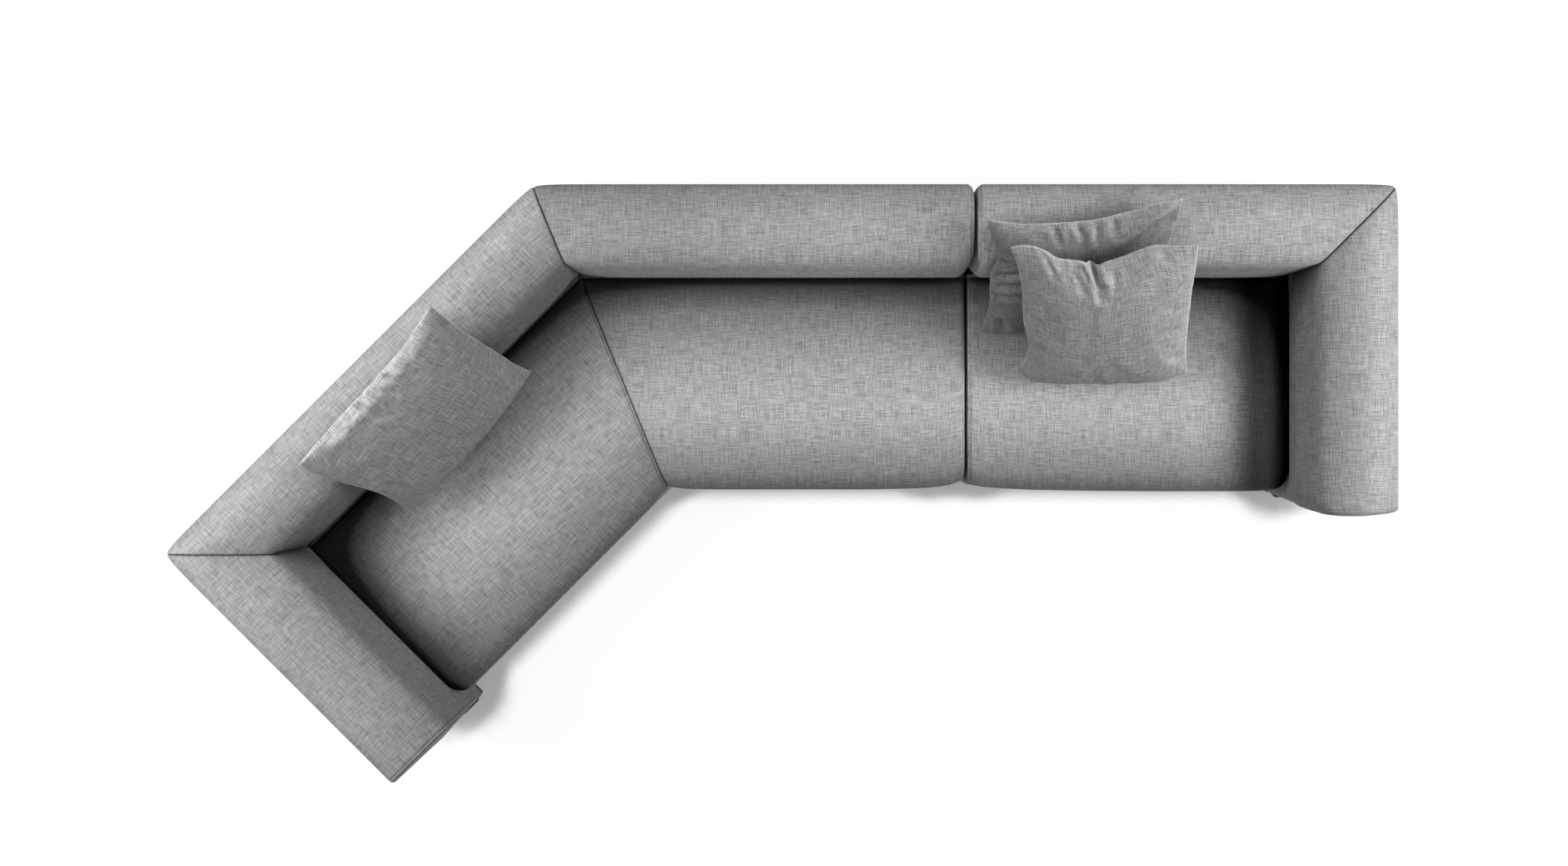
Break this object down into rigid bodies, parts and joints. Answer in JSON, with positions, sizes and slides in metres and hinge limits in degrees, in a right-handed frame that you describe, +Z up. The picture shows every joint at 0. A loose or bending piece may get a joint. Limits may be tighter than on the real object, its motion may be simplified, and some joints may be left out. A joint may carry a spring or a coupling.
{
  "type": "sectional sofa",
  "caption": "Modular upholstered sofa with a straight seat run, an angled wing section, an arm at each end, short square feet and loose scatter cushions.",
  "frame": {"origin": "on the floor at the middle of the plan's box", "axes": "+X along the straight back towards the right arm, +Y towards the back, +Z up"},
  "size_m": [3.8788, 1.869, 0.8996],
  "materials": {
    "upholstery_cloth": "grey melange linen-look plain weave",
    "cushion_cloth": "finer grey melange weave",
    "timber": "planed beech",
    "plywood": "sanded birch plywood",
    "spring_steel": "drawn spring wire",
    "zinc_steel": "zinc plated",
    "leg_paint": "black powder coat",
    "dust_cloth": "black spun-bonded cloth"
  },
  "bodies": {
    "left_module": {"bend_stretcher": "timber", "connector_jaw_front": "zinc_steel", "connector_jaw_rear": "zinc_steel", "left_arm_inner_board": "plywood", "left_arm_outer_board": "plywood", "left_arm_side_rail": "timber", "left_arm_top_rail": "timber", "left_arm_upholstery": "upholstery_cloth", "left_gap_rail": "timber", "leg_bend_front": "leg_paint", "leg_bend_rear": "leg_paint", "leg_left_arm_front": "leg_paint", "leg_left_corner": "leg_paint", "leg_left_gap_front": "leg_paint", "leg_left_gap_rear": "leg_paint", "middle_back_inner_board": "plywood", "middle_back_outer_board": "plywood", "middle_back_top_rail": "timber", "middle_back_upholstery": "upholstery_cloth", "middle_border": "upholstery_cloth", "middle_dust_cover": "dust_cloth", "middle_front_rail": "timber", "middle_rear_rail": "timber", "middle_seat_pad": "upholstery_cloth", "middle_springs": "spring_steel", "wing_back_inner_board": "plywood", "wing_back_outer_board": "plywood", "wing_back_top_rail": "timber", "wing_back_upholstery": "upholstery_cloth", "wing_dust_cover": "dust_cloth", "wing_front_border": "upholstery_cloth", "wing_front_rail": "timber", "wing_rear_rail": "timber", "wing_seat_pad": "upholstery_cloth", "wing_springs": "spring_steel"},
    "right_module": {"connector_tongue_front": "zinc_steel", "connector_tongue_rear": "zinc_steel", "leg_right_arm_front": "leg_paint", "leg_right_corner": "leg_paint", "leg_right_gap_front": "leg_paint", "leg_right_gap_rear": "leg_paint", "right_arm_inner_board": "plywood", "right_arm_outer_board": "plywood", "right_arm_side_rail": "timber", "right_arm_top_rail": "timber", "right_arm_upholstery": "upholstery_cloth", "right_back_inner_board": "plywood", "right_back_outer_board": "plywood", "right_back_top_rail": "timber", "right_back_upholstery": "upholstery_cloth", "right_border": "upholstery_cloth", "right_dust_cover": "dust_cloth", "right_front_rail": "timber", "right_gap_rail": "timber", "right_rear_rail": "timber", "right_seat_pad": "upholstery_cloth", "right_springs": "spring_steel"},
    "wing_cushion": {"wing_scatter_cushion": "cushion_cloth"},
    "rear_cushion": {"rear_scatter_cushion": "cushion_cloth"},
    "front_cushion": {"front_scatter_cushion": "cushion_cloth"}
  },
  "joints": [
    {"name": "module_slide", "type": "slide", "parent": "left_module", "child": "right_module", "axis": [1, 0, 0], "range_m": [0, 0.35]},
    {"name": "wing_cushion_lift", "type": "slide", "parent": "left_module", "child": "wing_cushion", "axis": [0, 0, 1], "range_m": [0, 0.45]},
    {"name": "rear_cushion_lift", "type": "slide", "parent": "right_module", "child": "rear_cushion", "axis": [0, 0, 1], "range_m": [0, 0.45]},
    {"name": "front_cushion_lift", "type": "slide", "parent": "rear_cushion", "child": "front_cushion", "axis": [0, 0, 1], "range_m": [0, 0.45]}
  ]
}
